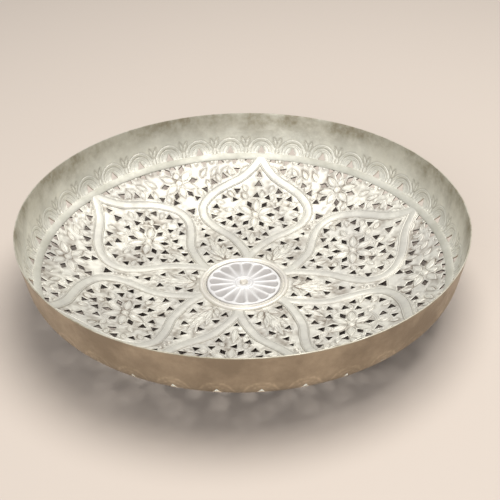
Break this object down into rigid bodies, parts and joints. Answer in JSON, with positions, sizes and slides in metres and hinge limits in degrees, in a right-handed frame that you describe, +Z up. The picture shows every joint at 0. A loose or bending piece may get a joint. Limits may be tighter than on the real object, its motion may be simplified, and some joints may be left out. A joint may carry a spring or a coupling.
{
  "type": "pierced tray",
  "caption": "Round dished brass tray with an upright side wall, its floor and wall foot pierced with small holes around a fluted medallion.",
  "frame": {"origin": "middle of the flat resting face on the underside of the floor", "axes": "+Z up along the tray's axis, +Y along the axis of one of the six lobes"},
  "size_m": [0.35, 0.35, 0.069],
  "materials": {
    "floor_brass": "polished bright, worn",
    "wall_brass": "dull, tarnished towards the rim",
    "bead_brass": "polished",
    "medallion_brass": "worn, greyed",
    "rivet_brass": "worn"
  },
  "bodies": {
    "root": {"floor_pan": "floor_brass", "side_wall": "wall_brass", "corner_bead": "bead_brass", "centre_medallion": "medallion_brass", "medallion_ring": "bead_brass", "centre_rivet": "rivet_brass"}
  },
  "joints": []
}
